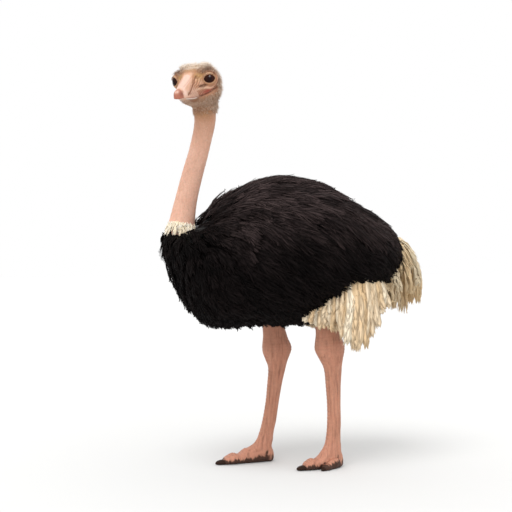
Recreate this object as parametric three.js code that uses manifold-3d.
// A life-size standing male ostrich as a still museum model, in millimetres, +Z up.
// The bird faces -X, its left side is at -Y, and its soles stand on z = 0.
import * as THREE from "three";
import { mergeVertices } from "three/addons/utils/BufferGeometryUtils.js";
import Module from "manifold-3d";

const wasm = await Module();
wasm.setup();
const { Vector2, Vector3, Matrix4 } = THREE;
const V = (x, y, z) => new Vector3(x, y, z);
const DEG = Math.PI / 180;
const DOWN = V(0, 0, -1);
const UP = V(0, 0, 1);
const BACK = V(1, 0, 0);
const SIDES = [["left", 1], ["right", -1]]; // 1 is the bird's left, at -Y

// ---------------------------------------------------------------- driving dimensions

const GAP = 0.3; // clearance between nodes that meet face to face
const SEED = 20457;
const FAR = 3000;

// The plumage's outline: an oval plan, and the height of its back and belly from chest to rump.
const BODY = {
  centreX: -70,
  halfLength: 595,
  halfWidth: 318,
  bluntness: 0.8, // how full the plan stays towards chest and rump
  pear: 0.08, // how much narrower the back is than the belly
  coat: 44, // depth from the plumage's outline down to the core
  ring: 18,
  stations: 13,
  flat: 0.74, // how much flatter the coat lies on the back than on the flanks
  top: keyed(
    [0, 1072], [0.07, 1108], [0.14, 1126], [0.21, 1132], [0.272, 1150], [0.31, 1218], [0.344, 1270], [0.378, 1314],
    [0.423, 1343], [0.49, 1366], [0.554, 1355], [0.6, 1338], [0.674, 1278], [0.73, 1220], [0.8, 1167], [0.9, 1078],
    [1, 1030],
  ),
  low: keyed(
    [0, 1072], [0.07, 1006], [0.14, 884], [0.18, 792], [0.22, 718], [0.25, 672], [0.3, 643], [0.39, 650], [0.57, 658],
    [0.66, 690], [0.77, 790], [0.88, 900], [1, 1045],
  ),
};

const WING = {
  midU: 0.62, midV: 94, spanU: 0.31, spanV: 62, // the wing's share of the flank
  swell: 30, // how far the folded arm raises the core
  handDepth: 14, // how far below the outline the folded hand lies
  reach: 210,
  // The white primaries' share: below these border points (x, z) on the flank.
  border: [[-135, 640], [112, 892], [405, 935], [470, 470], [-135, 470]],
  tuck: 45, // how far the black coverts hang over the white roots
};

const TAIL = {
  faceX: 462,
  rootZ: 1080,
  spread: 150,
  halves: [[1500, 116], [1010, 126], [900, 235], [400, 235]], // its space: half width at each height
  tiers: [
    { count: 6, reach: 122, droop: 355, high: 20, width: 92 },
    { count: 4, reach: 40, droop: 330, high: -10, width: 96 },
  ],
};

const NECK = {
  points: [V(-545, 0, 990), V(-573, 0, 1085), V(-565, -10, 1176), V(-554, -30, 1257), V(-538, -70, 1363), V(-522, -116, 1466), V(-507, -150, 1596), V(-530, -172, 1692)],
  radius: keyed([0, 74], [0.13, 62], [0.26, 53], [0.36, 48], [0.55, 46], [0.75, 45], [0.87, 49], [0.95, 54], [1, 44]),
  collarFrom: 0.05,
  collarTo: 0.235,
  middle: 0.55,
  top: 0.875,
  ring: 14,
};

const HEAD = {
  scale: 1.435, // this bird's head against a typical 200 mm one, in whose sizes the head is written
  eyes: V(-571, -221, 1755),
  turn: 46, // degrees from straight ahead towards the bird's left
  nod: -13.5,
  ring: 16,
};

// The eye: its ball, how far it sits from the middle line, and the half angles of its opening.
const EYE = { ball: 25, side: 34, forward: 32, wide: 47, high: 32, rim: 63 };

// Each foot, hock and knee, how far the foot turns out, and how far its long toe is stretched.
const LEG = {
  left: { foot: [127, -116], hock: [111, -121, 552], top: [48, -135, 830], splay: 7, stretch: -14 },
  right: { foot: [-133, 116], hock: [-65, 121, 534], top: [-122, 135, 830], splay: -1, stretch: 22 },
};
const TOE = {
  inner: { length: 176, heel: 54, width: 74, height: 74, claw: 40, clawSize: 29 },
  outer: { length: 112, heel: 24, width: 46, height: 50, claw: 16, clawSize: 19, aside: 27, turn: 25 },
};

// ---------------------------------------------------------------- small tools

// A smooth curve through a few [place, value] keys.
function keyed(...keys) {
  return (t) => {
    let i = 0;
    while (i < keys.length - 2 && t > keys[i + 1][0]) i += 1;
    const [a, b] = [keys[i], keys[i + 1]];
    const [before, after] = [keys[Math.max(i - 1, 0)], keys[Math.min(i + 2, keys.length - 1)]];
    const s = THREE.MathUtils.clamp((t - a[0]) / (b[0] - a[0]), 0, 1);
    const slopeA = ((b[1] - before[1]) / (b[0] - before[0])) * (b[0] - a[0]);
    const slopeB = ((after[1] - a[1]) / (after[0] - a[0])) * (b[0] - a[0]);
    const [s2, s3] = [s * s, s * s * s];
    return (2 * s3 - 3 * s2 + 1) * a[1] + (s3 - 2 * s2 + s) * slopeA + (3 * s2 - 2 * s3) * b[1] + (s3 - s2) * slopeB;
  };
}

function seeded(seed) {
  let state = seed;
  return () => {
    state = (state + 0x6d2b79f5) | 0;
    let t = Math.imul(state ^ (state >>> 15), 1 | state);
    t = (t + Math.imul(t ^ (t >>> 7), 61 | t)) ^ t;
    return ((t ^ (t >>> 14)) >>> 0) / 4294967296;
  };
}
const random = seeded(SEED);
const vary = (amount) => 1 + amount * (2 * random() - 1);
const between = (a, b, t) => a + (b - a) * t;
const evenly = (count, make) => Array.from({ length: count }, (_, k) => make(k / Math.max(count - 1, 1), k));

// A closed mesh from rings of equal count. A ring of one point is a tip; other ends get a cap.
function loft(rings) {
  const points = [];
  const faces = [];
  const starts = rings.map((ring) => points.push(...ring) - ring.length);
  for (let r = 0; r + 1 < rings.length; r += 1) {
    const [a, b] = [starts[r], starts[r + 1]];
    const [na, nb] = [rings[r].length, rings[r + 1].length];
    const n = Math.max(na, nb);
    for (let i = 0; i < n; i += 1) {
      const j = (i + 1) % n;
      if (na === 1) faces.push([a, b + j, b + i]);
      else if (nb === 1) faces.push([a + i, a + j, b]);
      else if (2 * i < n) faces.push([a + i, a + j, b + j], [a + i, b + j, b + i]);
      else faces.push([a + i, a + j, b + i], [a + j, b + j, b + i]);
    }
  }
  const cap = (start, n, flip) => {
    for (let i = 1; i + 1 < n; i += 1) {
      faces.push(flip ? [start, start + i + 1, start + i] : [start, start + i, start + i + 1]);
    }
  };
  cap(starts[0], rings[0].length, true);
  cap(starts.at(-1), rings.at(-1).length, false);
  const volume = faces.reduce((s, [a, b, c]) => s + points[a].dot(V(0, 0, 0).crossVectors(points[b], points[c])), 0);
  if (volume < 0) faces.forEach((f) => f.reverse());
  return solid(points, faces);
}

function solid(points, faces) {
  const vertProperties = new Float32Array(points.flatMap((p) => p.toArray()));
  return new wasm.Manifold(new wasm.Mesh({ numProp: 3, vertProperties, triVerts: new Uint32Array(faces.flat()) }));
}

// A three.js geometry, moved by a matrix, as a solid.
function solidOf(geometry, matrix) {
  geometry.deleteAttribute("normal").deleteAttribute("uv").applyMatrix4(matrix);
  const merged = mergeVertices(geometry, 1e-3);
  const { array } = merged.attributes.position;
  return new wasm.Manifold(new wasm.Mesh({ numProp: 3, vertProperties: array, triVerts: new Uint32Array(merged.index.array) }));
}

const join = (solids) => wasm.Manifold.union(solids);
const clear = (body, ...others) => others.reduce((left, other) => left.subtract(other), body);
const largest = (body) => body.decompose().sort((a, b) => b.volume() - a.volume())[0];

function box(low, high) {
  const size = high.clone().sub(low);
  const middle = low.clone().add(high).multiplyScalar(0.5);
  return solidOf(new THREE.BoxGeometry(size.x, size.y, size.z), new Matrix4().makeTranslation(middle));
}

// An outline in x and z, as a block from y = low to y = high, placed by a matrix.
function block(outline, low, high, place) {
  const shape = new THREE.Shape(outline.map(([x, z]) => new Vector2(x, z)));
  const geometry = new THREE.ExtrudeGeometry(shape, { depth: high - low, bevelEnabled: false });
  const stand = new Matrix4().makeTranslation(0, high, 0).multiply(new Matrix4().makeRotationX(90 * DEG));
  return solidOf(geometry, place.clone().multiply(stand));
}

function ball(place, radii, detail) {
  return solidOf(new THREE.SphereGeometry(1, detail, Math.round(detail * 0.7)), place.clone().scale(radii));
}

// The frame of a section: along the path, towards the reference, and sideways.
function sectionFrame(along, towards) {
  const t = along.clone().normalize();
  const n = towards.clone().addScaledVector(t, -towards.dot(t)).normalize();
  return { t, n, s: V(0, 0, 0).crossVectors(t, n) };
}

// A ring round a centre: front is its reach along the frame's n, rear against it, side across it.
function ringAt(centre, frame, front, rear, side, count, fullness = 2) {
  const shape = (value) => Math.sign(value) * Math.abs(value) ** (2 / fullness);
  return Array.from({ length: count }, (_, i) => {
    const angle = (2 * Math.PI * i) / count;
    const [c, s] = [Math.cos(angle), Math.sin(angle)];
    return centre
      .clone()
      .addScaledVector(frame.n, shape(c) * (c > 0 ? front : rear))
      .addScaledVector(frame.s, shape(s) * side);
  });
}

// ---------------------------------------------------------------- body surface

// The outline's section at u: its x, half width, middle height and half height.
function bodySection(u) {
  const s = Math.sin(Math.PI * u);
  const [top, low] = [BODY.top(u), BODY.low(u)];
  return {
    s,
    x: -Math.cos(Math.PI * u),
    half: BODY.halfWidth * s ** BODY.bluntness,
    middle: 0.5 * (top + low),
    high: 0.5 * (top - low),
  };
}

// A point of the plumage's outline, raised by lift. u runs from chest to rump, v from the back's
// ridge (0) down the left side (90) to the belly (180) and up the right side, in degrees.
function coat(u, v, lift = 0) {
  const { s, x, half, middle, high } = bodySection(u);
  const [c, w] = [Math.cos(v * DEG), Math.sin(v * DEG)];
  const flatter = lift < 0 ? 1 - BODY.flat * Math.max(0, c) ** 2 * s : 1;
  const rise = lift * Math.sqrt(s) * flatter;
  return V(BODY.centreX + (BODY.halfLength + lift) * x, -(half + rise) * w * (1 - BODY.pear * c), middle + (high + rise) * c);
}

// The (u, v) of the outline's point nearest to p, found by ever smaller steps from a first guess.
function coatPlace(p, u, v) {
  let best = { u, v, far: coat(u, v).distanceTo(p) };
  for (let step = 0.06; step > 0.004; step /= 2) {
    for (let moved = true; moved; ) {
      moved = false;
      for (const [du, dv] of [[step, 0], [-step, 0], [0, 150 * step], [0, -150 * step]]) {
        const [tu, tv] = [THREE.MathUtils.clamp(best.u + du, 0.004, 0.996), best.v + dv];
        const far = coat(tu, tv).distanceTo(p);
        if (far < best.far) {
          best = { u: tu, v: tv, far };
          moved = true;
        }
      }
    }
  }
  return [best.u, best.v];
}

function coatNormal(u, v) {
  const safe = THREE.MathUtils.clamp(u, 0.02, 0.98);
  const across = coat(safe, v + 1).sub(coat(safe, v - 1));
  const along = coat(safe + 0.01, v).sub(coat(safe - 0.01, v));
  const n = V(0, 0, 0).crossVectors(across, along).normalize();
  const outward = coat(safe, v).sub(V(BODY.centreX, 0, bodySection(safe).middle));
  return n.dot(outward) < 0 ? n.negate() : n;
}

function bodyCore(lift) {
  const rings = [[coat(0, 0, lift)]];
  for (let i = 1; i < BODY.stations; i += 1) {
    rings.push(Array.from({ length: BODY.ring }, (_, k) => coat(i / BODY.stations, (360 * k) / BODY.ring, lift)));
  }
  rings.push([coat(1, 0, lift)]);
  return loft(rings);
}

// ---------------------------------------------------------------- plumes and vanes

// A flat, tapered vane along a path of points, with a low ridge down both faces: broad after its
// root, then narrowing to its tip. normals point out of its upper face.
function vane(path, normals, width, thick) {
  const last = path.length - 1;
  const rings = path.map((p, i) => {
    if (i === last) return [p];
    const t = i / last;
    const frame = sectionFrame(path[i + 1].clone().sub(path[Math.max(i - 1, 0)]), normals[i]);
    const half = 0.5 * width * between(0.62, 1, Math.sin(Math.PI * Math.min(1, 0.2 + 0.8 * t)));
    const deep = 0.5 * thick * (1 - 0.6 * t);
    const at = (side, lift) => p.clone().addScaledVector(frame.s, side).addScaledVector(frame.n, lift);
    return [at(-half, 0), at(0, deep), at(half, 0), at(0, -deep)];
  });
  return loft(rings);
}

// The way plumes lie at a point: back along the spine on top, down on breast and flank.
function lieAt(u, v, fall) {
  const n = coatNormal(u, v);
  const side = Math.sin(v * DEG) ** 2;
  const front = Math.max(0, 1 - u / 0.3);
  const way = BACK.clone()
    .multiplyScalar(1.1 - 0.75 * front * (0.3 + side))
    .addScaledVector(DOWN, fall * (0.25 + side + 0.8 * front));
  return way.addScaledVector(n, -way.dot(n)).normalize();
}

// How high a plume lies above the outline, from its root in the core to its tip.
const plumeLift = keyed([0, -1], [0.25, -0.48], [0.5, -0.08], [0.75, -0.02], [1, -0.06]);

// A plume rooted in the core at (u, v), rising to the outline and following it; hang lets its
// outer part fall free, and rise lifts it past the outline.
function plume(u, v, { length, width, thick = 10, fall = 1, hang = 0, rise = 0, depth = BODY.coat + 24, steps = 4 }) {
  const path = [coat(u, v, -depth)];
  const normals = [coatNormal(u, v)];
  let [pu, pv] = [u, v];
  for (let i = 1; i <= steps; i += 1) {
    const t = i / steps;
    const free = hang * t * t;
    const way = lieAt(pu, pv, fall).multiplyScalar(1 - free).addScaledVector(DOWN, free).normalize();
    const next = path[i - 1].clone().addScaledVector(way, length / steps);
    normals.push(coatNormal(pu, pv));
    [pu, pv] = coatPlace(next, pu, pv);
    path.push(coat(pu, pv, depth * plumeLift(t) + rise * Math.min(1, 2 * t)).lerp(next, free));
  }
  return vane(path, normals, width, thick);
}

// ---------------------------------------------------------------- torso

// The plumes in tiers: where each tier roots (u), and its plumes' places round the body (v).
const MANTLE = [
  { u: 0.235, length: 180 }, { u: 0.3, length: 240 }, { u: 0.39, length: 310 }, { u: 0.51, length: 330 }, { u: 0.635, length: 320 },
];
const MANTLE_WIDTH = 160;
const BREAST = [
  { u: 0.05, from: 4, to: 150, count: 3, length: 140, width: 100, rise: 0 },
  { u: 0.12, from: 26, to: 166, count: 4, length: 185, width: 106, rise: 0 },
  { u: 0.18, from: 38, to: 172, count: 5, length: 195, width: 116, rise: 0 },
  { u: 0.26, from: 46, to: 166, count: 4, length: 195, width: 140, rise: 0 },
];
const HEM = { from: 0.33, to: 0.74, count: 4, length: 118, width: 132, places: [-157, -134, 134, 157] };

function bodyPlumes() {
  const made = [];
  for (const [row, { u, length }] of MANTLE.entries()) {
    for (const v of row % 2 ? [-13, 13] : [-27, 0, 27]) {
      const sizes = { length: length * vary(0.06), width: MANTLE_WIDTH * vary(0.08), thick: 22, fall: 0.6 };
      made.push(plume(u * vary(0.02), v * vary(0.1), sizes));
    }
  }
  for (const { u, from, to, count, length, width, rise } of BREAST) {
    for (const [, side] of SIDES) {
      evenly(count, (t) => {
        const v = between(from, to, t);
        const low = v > 120;
        made.push(plume(u * vary(0.04), side * v * vary(0.02), {
          length: length * (low ? 0.76 : 1) * vary(0.1), width: width * vary(0.1), fall: 1.5, hang: low ? 0.6 : 0.1, rise,
        }));
      });
    }
  }
  for (const v of HEM.places) {
    evenly(HEM.count, (t) => {
      const sizes = { length: HEM.length * vary(0.2), width: HEM.width * vary(0.12), fall: 1.4, hang: 0.8 };
      made.push(plume(between(HEM.from, HEM.to, t) * vary(0.02), v * vary(0.02), sizes));
    });
  }
  return made;
}

// ---------------------------------------------------------------- wings

// The wing's own space on the flank, from low to high above the outline, as a lens or a block.
function wingPatch(side, spread, low, high, domed) {
  const count = 18;
  const place = (a, k, lift) => {
    const angle = (2 * Math.PI * k) / count;
    const u = WING.midU + spread * WING.spanU * a * Math.cos(angle);
    return coat(u, side * (WING.midV + spread * WING.spanV * a * Math.sin(angle)), lift);
  };
  const steps = [0.4, 0.75, 1];
  const ringOf = (a, lift) => Array.from({ length: count }, (_, k) => place(a, k, lift));
  const outer = steps.map((a) => ringOf(a, domed ? between(low, high, Math.sqrt(1 - 0.98 * a * a)) : high));
  const inner = [...steps].reverse().map((a) => ringOf(a, low - (domed ? 5 : 0)));
  return loft([[place(0, 0, high)], ...outer, ...inner, [place(0, 0, low - (domed ? 5 : 0))]]);
}

// The white primaries' own space, which narrows outwards so that the coverts hang over it.
function primarySpace(side, grow) {
  const ring = (y, tuck) => WING.border.map(([x, z], i) => {
    const upper = i < 3 ? 1 : 0;
    return V(x - (i === 0 || i === 4 ? grow : 0) + upper * tuck * 0.5, -side * y, z + upper * (grow * 1.3 - tuck));
  });
  return loft([ring(40, -WING.tuck), ring(440, WING.tuck * 1.6)]);
}

// Black coverts and plumes in tiers, each behind and below the last.
const COVERTS = [
  { u: 0.36, from: 54, to: 128, count: 3, length: 270, width: 138 },
  { u: 0.47, from: 42, to: 134, count: 4, length: 270, width: 134 },
  { u: 0.59, from: 38, to: 128, count: 4, length: 265, width: 126 },
  { u: 0.7, from: 40, to: 106, count: 4, length: 235, width: 106 },
];

function wingCoverts(side) {
  return COVERTS.flatMap(({ u, from, to, count, length, width }) =>
    evenly(count, (t) => {
      const v = between(from, to, t) * vary(0.03);
      return plume(u * vary(0.015), side * v, {
        length: length * vary(0.08), width: width * vary(0.08), fall: 0.75, rise: 8, depth: BODY.coat - 8, hang: v > 118 ? 0.4 : 0.05,
      });
    }),
  );
}

// White primaries: hanging blades from under the coverts, longest above the hock.
const primaryTop = keyed([-60, 745], [40, 825], [130, 900], [400, 905]);
const primaryTip = keyed([-60, 655], [70, 608], [185, 558], [270, 622], [350, 712], [400, 740]);
function primaries(side) {
  return evenly(9, (t, k) => {
    const x = between(-78, 372, t);
    const inner = k % 2;
    const top = Math.min(primaryTop(x), WING.border[0][1] + 1.02 * (between(x, 120, 0.12) - WING.border[0][0])) - 8;
    const tip = primaryTip(x) + 18 * (vary(1) - 1) + 14 * inner;
    const root = V(between(x, 120, 0.12), 0, top);
    const seat = Math.abs(coat(...coatPlace(V(root.x, -side * 260, root.z), 0.6, side * 120)).y);
    const path = evenly(4, (s) => {
      const out = seat - 34 + (inner ? 8 : 34) * Math.sin(0.5 * Math.PI * Math.min(1, 2 * s)) - 16 * s;
      return V(between(root.x, x + 12 * (t - 0.4), s), -side * out, between(top, tip, s));
    });
    return vane(path, path.map(() => V(0, -side, 0.15)), 76 * vary(0.1), 9);
  });
}

// ---------------------------------------------------------------- tail

// The tail's own space behind the rump, narrow at its root and wide below.
function tailSpace(grow) {
  const right = TAIL.halves.map(([z, half]) => [z, half + 1.5 * grow]);
  const ring = (x) => [...right.map(([z, y]) => V(x, -y, z)), ...[...right].reverse().map(([z, y]) => V(x, y, z))];
  return loft([ring(TAIL.faceX - grow), ring(FAR)]);
}

function tailVanes() {
  return TAIL.tiers.flatMap(({ count, reach, droop, high, width }) =>
    evenly(count, (t) => {
      const fan = 2 * t - 1;
      const fall = droop * vary(0.09) * (1 - 0.1 * Math.abs(fan));
      const out = reach * (1 - 0.35 * fan * fan) * vary(0.05);
      const start = V(TAIL.faceX + 6, 56 * fan, TAIL.rootZ + high - 30 * fan * fan);
      const path = evenly(4, (s) => start.clone().add(V(
        out * Math.sin(2 * s),
        TAIL.spread * Math.sin(fan * 1.2) * s ** 0.8,
        18 * Math.sin(Math.PI * Math.min(1, 2 * s)) - fall * s ** 1.3,
      )));
      const normals = path.map((_, i) => {
        const along = path[Math.min(i + 1, 3)].clone().sub(path[Math.max(i - 1, 0)]);
        return V(0, 0, 0).crossVectors(along, V(0.7 * fan, 1 - 0.3 * Math.abs(fan), 0)).normalize();
      });
      return vane(path, normals, width * vary(0.1), 7);
    }),
  );
}

// ---------------------------------------------------------------- neck and collar

const neckLine = new THREE.CatmullRomCurve3(NECK.points);

function neckLength(from, to, grow, steps) {
  const more = grow / neckLine.getLength();
  return loft(evenly(steps + 1, (s) => {
    const t = between(from - more, to + more, s);
    const frame = sectionFrame(neckLine.getTangentAt(t), BACK);
    const r = NECK.radius(t) + grow;
    return ringAt(neckLine.getPointAt(t), frame, r, r * 1.04, r * 0.97, NECK.ring);
  }));
}

const NECK_SLIT = (0.5 * GAP) / neckLine.getLength();
const neckBase = (grow) => neckLength(NECK.collarFrom, NECK.collarTo - NECK_SLIT, grow, 3);
const neckLower = (grow) => neckLength(NECK.collarTo + NECK_SLIT, NECK.middle - NECK_SLIT, grow, 6);

// The collar's own space: a cone round the neck's base that other plumage keeps out of.
function collarSpace(grow) {
  const frame = sectionFrame(neckLine.getTangentAt(NECK.collarTo), BACK);
  const top = neckLine.getPointAt(NECK.collarTo);
  return loft([[10 + grow, 58], [-20, 74], [-55, 88], [-90 - grow, 92]].map(([up, r]) => {
    const reach = r + 1.3 * grow;
    return ringAt(top.clone().addScaledVector(frame.t, up), frame, reach, reach, reach, 16);
  }));
}

function collarTufts() {
  const t = NECK.collarTo - 0.012;
  const frame = sectionFrame(neckLine.getTangentAt(t), BACK);
  const base = neckLine.getPointAt(t);
  const count = 9;
  return Array.from({ length: count }, (_, k) => {
    const angle = (2 * Math.PI * (k + 0.2 * random())) / count;
    const out = frame.n.clone().multiplyScalar(Math.cos(angle)).addScaledVector(frame.s, Math.sin(angle));
    const length = 84 * vary(0.12);
    const path = evenly(3, (s) =>
      base.clone().addScaledVector(out, 34 + 40 * s).addScaledVector(frame.t, -length * s * (0.55 + 0.45 * s)),
    );
    return vane(path, path.map(() => out.clone().addScaledVector(frame.t, 0.6)), 60 * vary(0.1), 8);
  });
}

// ---------------------------------------------------------------- head

// Head sizes are those of a 200 mm head: x forward from the eyes to the bill, y left, z up.
const headPlace = new Matrix4()
  .makeTranslation(HEAD.eyes)
  .multiply(new Matrix4().makeRotationZ((180 + HEAD.turn) * DEG))
  .multiply(new Matrix4().makeRotationY(-HEAD.nod * DEG))
  .scale(V(HEAD.scale, HEAD.scale, HEAD.scale));
const onHead = (x, y, z) => V(x, y, z).applyMatrix4(headPlace);
const headBall = (x, y, z, radii, tilt, detail) =>
  ball(headPlace.clone().multiply(new Matrix4().makeTranslation(x, y, z)).multiply(new Matrix4().makeRotationY(tilt)), radii, detail);

const headTop = keyed([-80, -16], [-73, 14], [-56, 38], [-34, 49], [-10, 50], [12, 42], [30, 27], [48, 10], [70, -6], [90, -17], [104, -22], [112, -29], [118, -40]);
const headLow = keyed([-80, -44], [-70, -70], [-50, -88], [-28, -88], [0, -82], [30, -76], [60, -70], [85, -64], [104, -56], [118, -47]);
const headHalf = keyed([-80, 22], [-73, 42], [-56, 58], [-36, 62], [-16, 58], [0, 54], [20, 48], [38, 37], [58, 31], [78, 26], [96, 20], [108, 14], [118, 6]);
const headFull = keyed([-80, 2.1], [-50, 2.7], [-20, 2.5], [30, 2.4], [60, 2.2], [118, 2]);

// Swellings and hollows of the head: place, reach along the head, reach across it, and rise.
const HEAD_FORMS = [
  { x: -4, y: 38, z: 31, long: 26, wide: 13, rise: 6 }, // brow over the eye
  { x: 2, y: 48, z: 0, long: 23, wide: 17, rise: -6 }, // eye's hollow
  { x: 12, y: 44, z: -27, long: 24, wide: 8, rise: 5 }, // fold under the eye
  { x: 8, y: 42, z: -46, long: 30, wide: 7, rise: 3 }, // lip along the lower bill
  { x: -50, y: 47, z: -22, long: 13, wide: 13, rise: 5 }, // feathered rim of the ear
  { x: 54, y: 20, z: -6, long: 16, wide: 6, rise: 3 }, // rim of the nostril
  { x: 107, y: 6, z: -34, long: 9, wide: 14, rise: 4 }, // nail at the bill's tip
  { x: 66, y: 0, z: -4, long: 26, wide: 9, rise: 3 }, // raised ridge of the bill
];

function headPoint(x, angle) {
  const [top, low, half] = [headTop(x), headLow(x), headHalf(x)];
  const middle = between(low, top, 0.5);
  const power = 2 / headFull(x);
  const [c, s] = [Math.cos(angle), Math.sin(angle)];
  const point = V(x, half * Math.sign(s) * Math.abs(s) ** power, middle + 0.5 * (top - low) * Math.sign(c) * Math.abs(c) ** power);
  const out = V(0, point.y, point.z - middle).normalize();
  const rise = HEAD_FORMS.reduce((sum, form) => {
    const away = ((x - form.x) / form.long) ** 2 + (Math.hypot(Math.abs(point.y) - form.y, point.z - form.z) / form.wide) ** 2;
    return sum + form.rise * Math.exp(-away);
  }, 0);
  return point.addScaledVector(out, rise).applyMatrix4(headPlace);
}

function headShape() {
  const stations = [-80, -73, -62, -48, -34, -18, -4, 10, 24, 38, 54, 70, 86, 100, 111, 118];
  return loft(stations.map((x) => Array.from({ length: HEAD.ring }, (_, i) => headPoint(x, (2 * Math.PI * (i + 0.5)) / HEAD.ring))));
}

// The mouth line: low at the bill's tip, then rising to its corner behind the eye.
const MOUTH = [[-42, -21], [-20, -27], [4, -35], [26, -43], [48, -49], [76, -51], [104, -50], [130, -49]];

// What lies below the mouth line and ahead of the jaw's hinge, and what is ahead of the forehead.
function jawSpace(inset) {
  const line = MOUTH.map(([x, z], i) => [x + (i === 0 ? inset * 1.2 : 0), z - inset]);
  return block([...line, [130, -130], [36 + inset, -130]], -100, 100, headPlace);
}
function billSpace(inset) {
  return block([[30 + inset, 60], [50 + inset, -30], [60 + inset, -130], [150, -130], [150, 60]], -100, 100, headPlace);
}

function eyeball(side, grow) {
  const r = EYE.ball + grow / HEAD.scale;
  return headBall(2, side * EYE.side, 0, V(r, r, r), 0, 12);
}

// Both lids of an eye: a shell on the eyeball with an oval opening.
function lids(side) {
  const count = 12;
  const axis = V(Math.sin(EYE.forward * DEG), side * Math.cos(EYE.forward * DEG), 0);
  const across = V(axis.y, -axis.x, 0).multiplyScalar(side);
  const rings = Array.from({ length: count }, (_, i) => {
    const angle = (2 * Math.PI * i) / count;
    const [c, s] = [Math.cos(angle), Math.sin(angle)];
    const open = 1 / Math.hypot(c / EYE.wide, s / EYE.high);
    const at = (r, away) => V(2, side * EYE.side, 0)
      .addScaledVector(axis, r * Math.cos(away * DEG))
      .addScaledVector(across, r * Math.sin(away * DEG) * c)
      .add(V(0, 0, r * Math.sin(away * DEG) * s))
      .applyMatrix4(headPlace);
    const r = EYE.ball;
    return [at(r - 3, open), at(r + 1.8, open), at(r + 3.4, between(open, EYE.rim, 0.4)), at(r + 1, EYE.rim), at(r - 6, EYE.rim)];
  });
  return hoop(rings);
}

// A closed band from rings that run round and join up again.
function hoop(rings) {
  const n = rings[0].length;
  const faces = rings.flatMap((_, i) => {
    const [a, b] = [i * n, ((i + 1) % rings.length) * n];
    return rings[0].flatMap((__, k) => [[a + k, a + ((k + 1) % n), b + ((k + 1) % n)], [a + k, b + ((k + 1) % n), b + k]]);
  });
  const made = solid(rings.flat(), faces);
  return made.volume() > 0 ? made : solid(rings.flat(), faces.map((f) => [...f].reverse()));
}

function headWithBill() {
  let head = join([headShape(), ...SIDES.map(([, side]) => lids(side)), neckLength(NECK.top + NECK_SLIT, 1, 0, 3)]);
  for (const [, side] of SIDES) {
    head = clear(head, eyeball(side, GAP));
    head = clear(head, headBall(57, side * 26, -7, V(9, 5, 2.2), 0.35, 7)); // nostril
    head = clear(head, headBall(-50, side * 58, -24, V(5, 10, 7), 0, 7)); // cup of the ear
  }
  return head;
}

// ---------------------------------------------------------------- legs

// A leg's section at height z: its centre, and reaches in front, behind and to the side. h runs
// from the toes' joint (0) to the hock (1) and on up the thigh.
const legFront = keyed([0, 48], [0.12, 38], [0.25, 32], [0.45, 30], [0.66, 33], [0.82, 45], [0.93, 64], [1.03, 72], [1.16, 62], [1.3, 62], [1.6, 105]);
const legRear = keyed([0, 41], [0.12, 36], [0.25, 33], [0.45, 32], [0.66, 35], [0.82, 47], [0.93, 66], [1.03, 70], [1.16, 60], [1.3, 64], [1.6, 120]);
const legSide = keyed([0, 36], [0.12, 30], [0.25, 25], [0.5, 24], [0.75, 30], [0.93, 43], [1.03, 45], [1.16, 40], [1.3, 46], [1.6, 88]);
const legBow = keyed([0, 0], [0.3, 9], [0.7, 10], [1, 0]);
const LEG_LOW = 62; // height of the joint above the toes
const HOCK_TOP = 1.17;

function legCentre({ foot, hock, top }, h) {
  const z = between(LEG_LOW, hock[2], h);
  if (h <= 1) return V(between(foot[0], hock[0], h) + legBow(h), between(foot[1], hock[1], h), z);
  const up = (z - hock[2]) / (top[2] - hock[2]);
  return V(between(hock[0], top[0], up ** 1.6), between(hock[1], top[1], up), z);
}

function legLength(shape, from, to, grow, steps) {
  return loft(evenly(steps + 1, (s) => {
    const h = between(from, to, s);
    const frame = { n: V(-1, 0, 0), s: V(0, 1, 0) };
    return ringAt(legCentre(shape, h), frame, legFront(h) + grow, legRear(h) + grow, legSide(h) + grow, 10, 2.1);
  }));
}

// The frame of a toe: which way it points and what is across it.
function toeFrame(heading) {
  const way = V(-Math.cos(heading * DEG), -Math.sin(heading * DEG), 0);
  return { t: way, n: UP, s: V(0, 0, 0).crossVectors(UP, way) };
}

// A toe from its heel to the root of its claw, flat underneath, with pads and joint swellings.
const toeRise = keyed([0, 0.92], [0.12, 1], [0.3, 0.9], [0.45, 0.68], [0.6, 0.52], [0.8, 0.44], [1, 0.42]);
function toe({ at, heading, length, heel, width, height }, grow) {
  const frame = toeFrame(heading);
  return loft(evenly(9, (t) => {
    const end = Math.max(0.12, 1 - (2 * t - 1) ** 8) ** 0.5;
    const half = 0.5 * width * end * between(1.02, 0.86, t) * (1 + 0.06 * Math.cos(15 * t + 0.6)) + grow;
    const top = Math.max(height * end * toeRise(t) * (1 + 0.05 * Math.cos(19 * t + 2)), 16) + grow;
    const centre = V(at.x, at.y, 12).addScaledVector(frame.t, between(-heel - grow, length + grow, t));
    return ringAt(centre, frame, top - 12, 14 + grow, half, 10, 2.5);
  }));
}

// A toe's nail: a blunt, flattened horn that leaves the toe's end and comes down to the floor.
function claw({ at, heading, length, width, claw: reach, clawSize: size }) {
  const frame = toeFrame(heading);
  const rings = evenly(5, (t) => {
    const centre = V(at.x, at.y, size * (0.62 - 0.36 * t)).addScaledVector(frame.t, between(length - 26, length + reach * 0.86, t));
    return ringAt(centre, frame, size * (0.44 - 0.2 * t), size * 0.8, width * (0.35 - 0.17 * t * t), 8, 2.2);
  });
  return loft([...rings, [V(at.x, at.y, 3).addScaledVector(frame.t, length + reach)]]);
}

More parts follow.
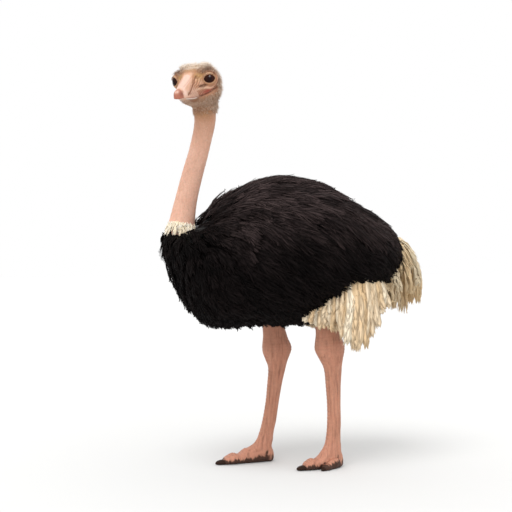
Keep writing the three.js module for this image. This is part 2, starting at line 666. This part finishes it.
// A scute: a low plate with a bevelled rim, raised on the surface under it.
function scute(centre, frame, long, wide, rise) {
  const corner = (a, b, lift) => centre.clone().addScaledVector(frame.t, a * long).addScaledVector(frame.s, b * wide).addScaledVector(frame.n, lift);
  const ring = (size, lift) => [[-1, -0.5], [-1, 0.5], [0.1, 1], [1, 0.6], [1, -0.6], [0.1, -1]].map(([a, b]) => corner(a * size, b * size, lift));
  return loft([ring(1, -8), ring(1, 0.4 * rise), ring(0.8, rise)]);
}

function toeScutes({ at, heading, length, width, height, heel }, count, from, to) {
  const frame = toeFrame(heading);
  return evenly(count, (s) => {
    const t = between(from, to, s);
    const centre = V(at.x, at.y, height * toeRise(t) * (1 + 0.05 * Math.cos(19 * t + 2)) - 0.5).addScaledVector(frame.t, between(-heel, length, t));
    return scute(centre, frame, (0.46 * (length + heel) * (to - from)) / count, width * 0.3, 2.4);
  });
}

function shankScutes(shape, count) {
  return evenly(count, (s) => {
    const h = between(0.2, 0.62, s);
    const centre = legCentre(shape, h).add(V(-legFront(h) + 0.5, 0, 0));
    return scute(centre, { t: DOWN, n: V(-1, 0, 0), s: V(0, 1, 0) }, (0.22 * 470) / count, 15, 2.2);
  });
}

function leg(name, side, core, aboveFloor) {
  const shape = LEG[name];
  const cut = 0.15 / (shape.hock[2] - LEG_LOW);
  const length = TOE.inner.length + shape.stretch;
  const inner = { ...TOE.inner, length, at: V(...shape.foot, 0), heading: side * shape.splay };
  const outer = { ...TOE.outer, at: V(shape.foot[0] + 4, shape.foot[1] - side * TOE.outer.aside, 0), heading: side * (shape.splay + TOE.outer.turn) };
  const [innerSpace, outerSpace] = [toe(inner, GAP), toe(outer, GAP)];
  const shank = join([legLength(shape, -0.07, HOCK_TOP - cut, 0, 10), ...shankScutes(shape, 4)]);
  const shankFoot = legLength(shape, -0.07, 0.3, 1, 6);
  const withScutes = (sizes, count, from, to) =>
    join([toe(sizes, 0), clear(join(toeScutes(sizes, count, from, to)), shankFoot)]);
  return {
    [`${name}_thigh`]: clear(legLength(shape, HOCK_TOP + cut, 1.56, 0, 5), core),
    [`${name}_shank`]: clear(shank, innerSpace, outerSpace),
    [`${name}_inner_toe`]: withScutes(inner, 3, 0.46, 0.8).intersect(aboveFloor),
    [`${name}_outer_toe`]: clear(withScutes(outer, 2, 0.48, 0.7).intersect(aboveFloor), innerSpace),
    [`${name}_inner_claw`]: clear(claw(inner).intersect(aboveFloor), innerSpace),
    [`${name}_outer_claw`]: clear(claw(outer).intersect(aboveFloor), outerSpace, innerSpace),
  };
}

// ---------------------------------------------------------------- assembly

const LOOKS = {
  black: { color: 0x0d0b0c, roughness: 0.9 },
  white: { color: 0xe6d3b4, roughness: 0.9 },
  skin: { color: 0xc98f76, roughness: 0.6 },
  horn: { color: 0x4a352b, roughness: 0.5 },
  bill: { color: 0xd6a793, roughness: 0.5 },
  eye: { color: 0x160c0a, roughness: 0.08 },
};

function plumage(nodes, core) {
  const thighs = SIDES.map(([name]) => legLength(LEG[name], HOCK_TOP, 1.56, GAP, 5));
  const wingSpaces = SIDES.map(([, side]) => wingPatch(side, 1, -BODY.coat - 30, WING.reach, false));

  const plumes = clear(join(bodyPlumes()), tailSpace(GAP), ...wingSpaces, ...thighs, collarSpace(GAP), neckBase(GAP), neckLower(GAP));
  nodes.torso = [largest(join([bodyCore(-BODY.coat), plumes])), "black"];

  for (const [name, side] of SIDES) {
    const space = wingPatch(side, 0.998, -BODY.coat - 30, WING.reach - 1, false);
    const arm = wingPatch(side, 0.96, -BODY.coat, -BODY.coat + WING.swell, true);
    const hand = wingPatch(side, 0.99, -BODY.coat, -WING.handDepth, false);
    const fit = (pieces) => clear(join(pieces).intersect(space), core, tailSpace(GAP), ...thighs);
    nodes[`${name}_wing`] = [largest(clear(fit([arm, ...wingCoverts(side)]), primarySpace(side, GAP))), "black"];
    nodes[`${name}_primaries`] = [largest(fit([hand, ...primaries(side)]).intersect(primarySpace(side, 0))), "white"];
  }

  const rump = ball(new Matrix4().makeTranslation(TAIL.faceX + 14, 0, TAIL.rootZ - 14), V(60, 92, 58), 10);
  nodes.tail = [largest(clear(join([rump, ...tailVanes()]).intersect(tailSpace(0)), core)), "white"];
}

function buildNodes() {
  const aboveFloor = box(V(-FAR, -FAR, 0), V(FAR, FAR, FAR));
  const core = bodyCore(-BODY.coat + GAP);
  const nodes = {};
  plumage(nodes, core);

  const tufts = join(collarTufts()).intersect(collarSpace(0));
  nodes.collar = [clear(join([neckBase(0), tufts]), core, neckLower(GAP)), "white"];
  nodes.neck_lower = [neckLower(0), "skin"];
  nodes.neck_upper = [neckLength(NECK.middle + NECK_SLIT, NECK.top - NECK_SLIT, 0, 6), "skin"];

  const whole = headWithBill();
  const cut = 0.15 / HEAD.scale;
  const upper = clear(whole, jawSpace(-cut));
  nodes.head = [clear(upper, billSpace(-cut)), "skin"];
  nodes.upper_bill = [upper.intersect(billSpace(cut)), "bill"];
  nodes.lower_bill = [whole.intersect(jawSpace(cut)), "bill"];
  for (const [name, side] of SIDES) {
    nodes[`${name}_eye`] = [eyeball(side, 0), "eye"];
    for (const [part, body] of Object.entries(leg(name, side, core, aboveFloor))) {
      nodes[part] = [body, part.endsWith("claw") ? "horn" : "skin"];
    }
  }
  return nodes;
}

// A finished solid as a named mesh with its own material.
function meshOf(name, body, look) {
  const { vertProperties, triVerts } = largest(body).getMesh();
  const geometry = new THREE.BufferGeometry();
  geometry.setAttribute("position", new THREE.BufferAttribute(new Float32Array(vertProperties), 3));
  geometry.setIndex(new THREE.BufferAttribute(new Uint32Array(triVerts), 1));
  const mesh = new THREE.Mesh(geometry, new THREE.MeshStandardMaterial({ ...LOOKS[look], metalness: 0 }));
  mesh.name = name;
  return mesh;
}

const ostrich = new THREE.Group();
for (const [name, [body, look]] of Object.entries(buildNodes())) ostrich.add(meshOf(name, body, look));

// The origin is on the floor, at the middle of the whole bird's box.
const middle = new THREE.Box3().setFromObject(ostrich).getCenter(V(0, 0, 0));
ostrich.position.set(-middle.x, -middle.y, 0);

export default ostrich;
